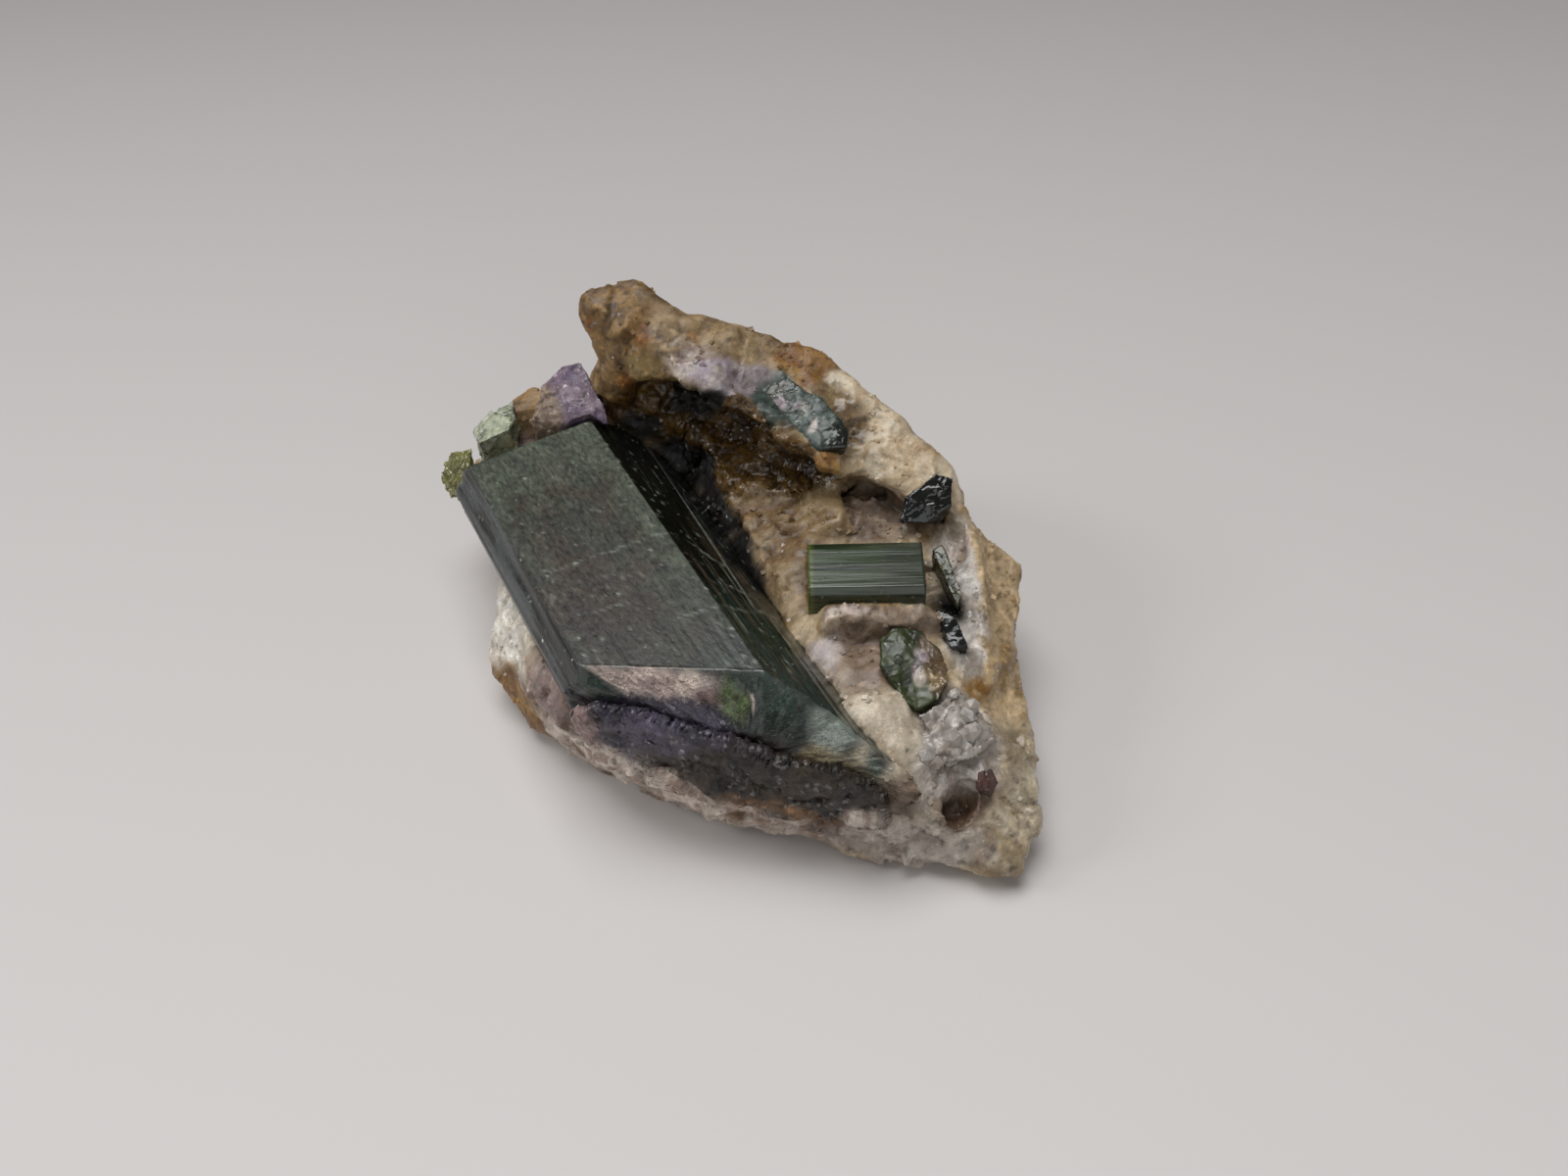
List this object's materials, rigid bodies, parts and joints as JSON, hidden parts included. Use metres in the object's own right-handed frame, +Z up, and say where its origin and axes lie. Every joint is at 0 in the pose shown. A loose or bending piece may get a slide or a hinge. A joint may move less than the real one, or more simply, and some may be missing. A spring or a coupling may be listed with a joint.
{
  "type": "verdelite tourmaline specimen in matrix",
  "caption": "Loose pegmatite specimen: a long dark green tourmaline prism and smaller green crystals set in a block of feldspar, lilac mica and quartz.",
  "frame": {"origin": "centre of the bounding box at the flat base that the specimen rests on", "axes": "+Z up from the base; +Y to the back, where the crest stands highest; +X to the right as seen from the front"},
  "size_m": [0.0302, 0.0284, 0.0159],
  "materials": {
    "feldspar_matrix": "broken feldspar and mica rock, granular cream and tan with rust stains, dull with small glints",
    "dark_green_tourmaline": "vitreous crystal faces, finely striated along the prism, frosty on the broad face",
    "olive_green_tourmaline": "vitreous, clear to translucent green with fine striations",
    "blue_green_tourmaline": "etched and pitted, translucent blue-green with white flecks",
    "lilac_lepidolite": "pearly mica in fine scales, lilac to deep violet",
    "white_quartz": "sugary white to colourless grains, glassy glints",
    "brown_garnet": "small reddish-brown grain, resinous"
  },
  "bodies": {
    "root": {"matrix": "feldspar_matrix", "main_tourmaline": "dark_green_tourmaline", "small_tourmaline_prism": "olive_green_tourmaline", "crest_tourmaline": "blue_green_tourmaline", "rim_tourmaline": "dark_green_tourmaline", "sliver_tourmaline": "olive_green_tourmaline", "dark_end_tourmaline": "dark_green_tourmaline", "yellow_green_tourmaline": "olive_green_tourmaline", "pale_tourmaline": "blue_green_tourmaline", "glassy_tourmaline_knot": "olive_green_tourmaline", "lepidolite_book": "lilac_lepidolite", "lepidolite_seam": "lilac_lepidolite", "sugary_quartz": "white_quartz", "garnet": "brown_garnet"}
  },
  "joints": []
}
